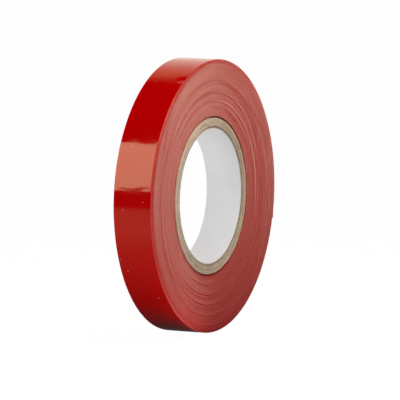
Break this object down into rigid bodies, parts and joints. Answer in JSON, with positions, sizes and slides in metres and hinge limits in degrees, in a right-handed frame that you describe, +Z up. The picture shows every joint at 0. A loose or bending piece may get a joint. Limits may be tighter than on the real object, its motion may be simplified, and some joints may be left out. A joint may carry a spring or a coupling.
{
  "type": "electrical tape roll",
  "caption": "Roll of glossy red PVC electrical tape wound on a paperboard core with a white liner; the free end lifts off the roll.",
  "frame": {"origin": "on the roll's axis, in the core's bore, at the middle of the outermost turn's width", "axes": "+Y along the roll's axis, from the front face, which is slightly dished, to the rear face, which stands out by as much; +Z up as the roll stands on its rim; the free end is on the +X side and peels away from it"},
  "size_m": [0.078, 0.013, 0.0778],
  "materials": {
    "red_pvc": "glossy PVC film, matte on its slit edges",
    "kraft_board": "grey-brown kraft board, fibrous cut ends",
    "brown_wrap": "tan kraft paper",
    "white_paper": "smooth matte white liner"
  },
  "bodies": {
    "roll": {"core_liner": "white_paper", "core_ply_1": "kraft_board", "core_ply_2": "kraft_board", "core_ply_3": "kraft_board", "core_ply_4": "kraft_board", "core_ply_5": "kraft_board", "core_ply_6": "kraft_board", "core_wrap": "brown_wrap", "wound_turns": "red_pvc"},
    "lead_01": {"lead_link_01": "red_pvc"},
    "lead_02": {"lead_link_02": "red_pvc"},
    "lead_03": {"lead_link_03": "red_pvc"},
    "lead_04": {"lead_link_04": "red_pvc"},
    "lead_05": {"lead_link_05": "red_pvc"},
    "lead_06": {"lead_link_06": "red_pvc"},
    "lead_07": {"lead_link_07": "red_pvc"},
    "lead_08": {"lead_link_08": "red_pvc"},
    "lead_09": {"lead_link_09": "red_pvc"},
    "lead_10": {"lead_link_10": "red_pvc"},
    "lead_11": {"lead_link_11": "red_pvc"},
    "lead_12": {"lead_link_12": "red_pvc"}
  },
  "joints": [
    {"name": "peel_01", "type": "hinge", "parent": "roll", "child": "lead_01", "pos_m": [0.01009, 0, 0.03767], "axis": [0, -1, 0], "range_deg": [0, 7.5]},
    {"name": "peel_02", "type": "hinge", "parent": "lead_01", "child": "lead_02", "pos_m": [0.01492, 0, 0.03603], "axis": [0, -1, 0], "range_deg": [0, 7.5]},
    {"name": "peel_03", "type": "hinge", "parent": "lead_02", "child": "lead_03", "pos_m": [0.0195, 0, 0.03377], "axis": [0, -1, 0], "range_deg": [0, 7.5]},
    {"name": "peel_04", "type": "hinge", "parent": "lead_03", "child": "lead_04", "pos_m": [0.02374, 0, 0.03094], "axis": [0, -1, 0], "range_deg": [0, 7.5]},
    {"name": "peel_05", "type": "hinge", "parent": "lead_04", "child": "lead_05", "pos_m": [0.02758, 0, 0.02758], "axis": [0, -1, 0], "range_deg": [0, 7.5]},
    {"name": "peel_06", "type": "hinge", "parent": "lead_05", "child": "lead_06", "pos_m": [0.03094, 0, 0.02374], "axis": [0, -1, 0], "range_deg": [0, 7.5]},
    {"name": "peel_07", "type": "hinge", "parent": "lead_06", "child": "lead_07", "pos_m": [0.03377, 0, 0.0195], "axis": [0, -1, 0], "range_deg": [0, 7.5]},
    {"name": "peel_08", "type": "hinge", "parent": "lead_07", "child": "lead_08", "pos_m": [0.03603, 0, 0.01492], "axis": [0, -1, 0], "range_deg": [0, 7.5]},
    {"name": "peel_09", "type": "hinge", "parent": "lead_08", "child": "lead_09", "pos_m": [0.03767, 0, 0.01009], "axis": [0, -1, 0], "range_deg": [0, 7.5]},
    {"name": "peel_10", "type": "hinge", "parent": "lead_09", "child": "lead_10", "pos_m": [0.03867, 0, 0.00509], "axis": [0, -1, 0], "range_deg": [0, 7.5]},
    {"name": "peel_11", "type": "hinge", "parent": "lead_10", "child": "lead_11", "pos_m": [0.039, 0, 0], "axis": [0, -1, 0], "range_deg": [0, 7.5]},
    {"name": "peel_12", "type": "hinge", "parent": "lead_11", "child": "lead_12", "pos_m": [0.03867, 0, -0.00509], "axis": [0, -1, 0], "range_deg": [0, 7.5]}
  ],
  "couplings": [
    {"joint": "peel_02", "follows": "peel_01", "ratio": 1},
    {"joint": "peel_03", "follows": "peel_01", "ratio": 1},
    {"joint": "peel_04", "follows": "peel_01", "ratio": 1},
    {"joint": "peel_05", "follows": "peel_01", "ratio": 1},
    {"joint": "peel_06", "follows": "peel_01", "ratio": 1},
    {"joint": "peel_07", "follows": "peel_01", "ratio": 1},
    {"joint": "peel_08", "follows": "peel_01", "ratio": 1},
    {"joint": "peel_09", "follows": "peel_01", "ratio": 1},
    {"joint": "peel_10", "follows": "peel_01", "ratio": 1},
    {"joint": "peel_11", "follows": "peel_01", "ratio": 1},
    {"joint": "peel_12", "follows": "peel_01", "ratio": 1}
  ]
}
